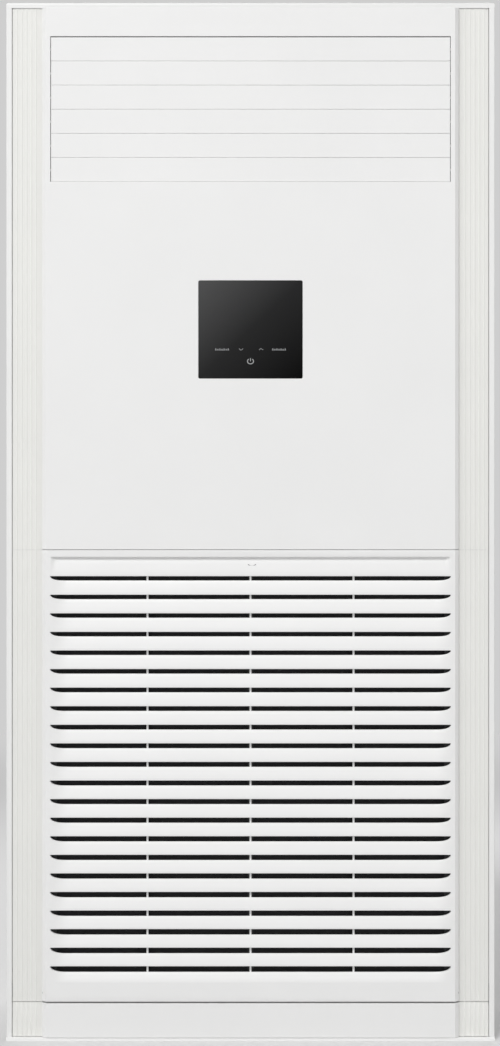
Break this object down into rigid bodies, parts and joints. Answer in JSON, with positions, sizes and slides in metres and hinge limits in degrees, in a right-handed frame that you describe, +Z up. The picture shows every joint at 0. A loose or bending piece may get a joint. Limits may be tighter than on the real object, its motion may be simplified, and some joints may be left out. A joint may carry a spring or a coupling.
{
  "type": "floor standing air conditioner",
  "caption": "Tall cabinet air conditioner: closing louvres at the top, black touch display, tilting louvred intake panel with filter, and a centrifugal fan and coil inside.",
  "frame": {"origin": "centre of the footprint at floor level", "axes": "+Z up, the front faces -Y, +X is the viewer's right when facing the front"},
  "size_m": [0.88, 0.42, 1.87],
  "materials": {
    "panel_white": "fine-grained satin white moulding",
    "strip_white": "satin warm white ribbed moulding",
    "sheet_white": "white powder coat, fine texture",
    "zinc": "galvanised sheet, dull",
    "display_black": "gloss black glass-like cover",
    "black_plastic": "matte black moulding",
    "grey_plastic": "matte grey moulding",
    "mesh_dark": "fine woven filter net",
    "fins": "thin bright fins",
    "copper": "drawn copper tube",
    "circuit": "green coated board",
    "rubber": "matte black rubber",
    "steel": "turned steel"
  },
  "bodies": {
    "cabinet": {"base_pan": "sheet_white", "side_panel_left": "sheet_white", "side_panel_right": "sheet_white", "rear_panel": "sheet_white", "top_cover": "sheet_white", "front_frame": "zinc", "upper_panel": "panel_white", "kick_panel": "panel_white", "upper_trim_left": "strip_white", "upper_trim_right": "strip_white", "display_glass": "display_black", "display_bezel": "black_plastic", "display_board": "circuit", "louvre_motor": "steel", "louvre_bushes": "grey_plastic", "outlet_duct": "black_plastic", "vane_motor": "steel", "hinge_brackets": "zinc", "hinge_pins": "steel", "catch_magnets": "black_plastic", "fan_housing": "zinc", "inlet_ring": "black_plastic", "fan_motor": "steel", "motor_bracket": "zinc", "fan_deck": "zinc", "coil_fins": "fins", "coil_end_plates": "copper", "drain_pan": "grey_plastic", "flare_nuts": "copper", "suction_pipe": "copper", "liquid_pipe": "copper", "electrical_box": "zinc", "electrical_cover": "zinc", "control_board": "circuit", "terminal_block": "grey_plastic", "run_capacitor": "steel", "rear_grommets": "rubber"},
    "intake_door": {"intake_panel": "panel_white", "intake_trim_left": "strip_white", "intake_trim_right": "strip_white"},
    "filter": {"filter_frame": "grey_plastic", "filter_mesh": "mesh_dark"},
    "fan": {"impeller": "black_plastic", "fan_shaft": "steel"},
    "louvre_bar": {"louvre_link": "grey_plastic"},
    "motor_crank": {"louvre_crank": "grey_plastic"},
    "vane_bar": {"vane_link": "grey_plastic"},
    "outlet_louvre_1": {"louvre_1": "panel_white"},
    "outlet_louvre_2": {"louvre_2": "panel_white"},
    "outlet_louvre_3": {"louvre_3": "panel_white"},
    "outlet_louvre_4": {"louvre_4": "panel_white"},
    "outlet_louvre_5": {"louvre_5": "panel_white"},
    "outlet_louvre_6": {"louvre_6": "panel_white"},
    "guide_vane_1": {"vane_01": "grey_plastic"},
    "guide_vane_2": {"vane_02": "grey_plastic"},
    "guide_vane_3": {"vane_03": "grey_plastic"},
    "guide_vane_4": {"vane_04": "grey_plastic"},
    "guide_vane_5": {"vane_05": "grey_plastic"},
    "guide_vane_6": {"vane_06": "grey_plastic"},
    "guide_vane_7": {"vane_07": "grey_plastic"}
  },
  "joints": [
    {"name": "louvre_1_swing", "type": "hinge", "parent": "cabinet", "child": "outlet_louvre_1", "pos_m": [0, -0.203, 1.7847], "axis": [1, 0, 0], "range_deg": [0, 75]},
    {"name": "louvre_2_swing", "type": "hinge", "parent": "cabinet", "child": "outlet_louvre_2", "pos_m": [0, -0.203, 1.7413], "axis": [1, 0, 0], "range_deg": [0, 75]},
    {"name": "louvre_3_swing", "type": "hinge", "parent": "cabinet", "child": "outlet_louvre_3", "pos_m": [0, -0.203, 1.6979], "axis": [1, 0, 0], "range_deg": [0, 75]},
    {"name": "louvre_4_swing", "type": "hinge", "parent": "cabinet", "child": "outlet_louvre_4", "pos_m": [0, -0.203, 1.6545], "axis": [1, 0, 0], "range_deg": [0, 75]},
    {"name": "louvre_5_swing", "type": "hinge", "parent": "cabinet", "child": "outlet_louvre_5", "pos_m": [0, -0.203, 1.6111], "axis": [1, 0, 0], "range_deg": [0, 75]},
    {"name": "louvre_6_swing", "type": "hinge", "parent": "cabinet", "child": "outlet_louvre_6", "pos_m": [0, -0.203, 1.5677], "axis": [1, 0, 0], "range_deg": [0, 75]},
    {"name": "louvre_bar_pivot", "type": "hinge", "parent": "outlet_louvre_1", "child": "louvre_bar", "pos_m": [0.36, -0.19348, 1.7774], "axis": [1, 0, 0], "range_deg": [-75, 0]},
    {"name": "motor_crank_turn", "type": "hinge", "parent": "cabinet", "child": "motor_crank", "pos_m": [0.363, -0.163, 1.6762], "axis": [1, 0, 0], "range_deg": [0, 75]},
    {"name": "vane_1_swing", "type": "hinge", "parent": "cabinet", "child": "guide_vane_1", "pos_m": [-0.30857, -0.151, 1.67], "axis": [0, 0, 1], "range_deg": [-40, 40]},
    {"name": "vane_2_swing", "type": "hinge", "parent": "cabinet", "child": "guide_vane_2", "pos_m": [-0.20571, -0.151, 1.67], "axis": [0, 0, 1], "range_deg": [-40, 40]},
    {"name": "vane_3_swing", "type": "hinge", "parent": "cabinet", "child": "guide_vane_3", "pos_m": [-0.10286, -0.151, 1.67], "axis": [0, 0, 1], "range_deg": [-40, 40]},
    {"name": "vane_4_swing", "type": "hinge", "parent": "cabinet", "child": "guide_vane_4", "pos_m": [0, -0.151, 1.67], "axis": [0, 0, 1], "range_deg": [-40, 40]},
    {"name": "vane_5_swing", "type": "hinge", "parent": "cabinet", "child": "guide_vane_5", "pos_m": [0.10286, -0.151, 1.67], "axis": [0, 0, 1], "range_deg": [-40, 40]},
    {"name": "vane_6_swing", "type": "hinge", "parent": "cabinet", "child": "guide_vane_6", "pos_m": [0.20571, -0.151, 1.67], "axis": [0, 0, 1], "range_deg": [-40, 40]},
    {"name": "vane_7_swing", "type": "hinge", "parent": "cabinet", "child": "guide_vane_7", "pos_m": [0.30857, -0.151, 1.67], "axis": [0, 0, 1], "range_deg": [-40, 40]},
    {"name": "vane_bar_pivot", "type": "hinge", "parent": "guide_vane_1", "child": "vane_bar", "pos_m": [-0.30857, -0.131, 1.555], "axis": [0, 0, 1], "range_deg": [-40, 40]},
    {"name": "fan_spin", "type": "hinge", "parent": "cabinet", "child": "fan", "pos_m": [0, 0, 0.44], "axis": [0, 1, 0], "continuous": true},
    {"name": "intake_door_tilt", "type": "hinge", "parent": "cabinet", "child": "intake_door", "pos_m": [0, -0.201, 0.0865], "axis": [1, 0, 0], "range_deg": [0, 25]},
    {"name": "filter_lift", "type": "slide", "parent": "intake_door", "child": "filter", "axis": [0, 0, 1], "range_m": [0, 0.012]}
  ],
  "couplings": [
    {"joint": "louvre_2_swing", "follows": "louvre_1_swing", "ratio": 1},
    {"joint": "louvre_3_swing", "follows": "louvre_1_swing", "ratio": 1},
    {"joint": "louvre_4_swing", "follows": "louvre_1_swing", "ratio": 1},
    {"joint": "louvre_5_swing", "follows": "louvre_1_swing", "ratio": 1},
    {"joint": "louvre_6_swing", "follows": "louvre_1_swing", "ratio": 1},
    {"joint": "louvre_bar_pivot", "follows": "louvre_1_swing", "ratio": -1},
    {"joint": "motor_crank_turn", "follows": "louvre_1_swing", "ratio": 1},
    {"joint": "vane_2_swing", "follows": "vane_1_swing", "ratio": 1},
    {"joint": "vane_3_swing", "follows": "vane_1_swing", "ratio": 1},
    {"joint": "vane_4_swing", "follows": "vane_1_swing", "ratio": 1},
    {"joint": "vane_5_swing", "follows": "vane_1_swing", "ratio": 1},
    {"joint": "vane_6_swing", "follows": "vane_1_swing", "ratio": 1},
    {"joint": "vane_7_swing", "follows": "vane_1_swing", "ratio": 1},
    {"joint": "vane_bar_pivot", "follows": "vane_1_swing", "ratio": -1}
  ]
}
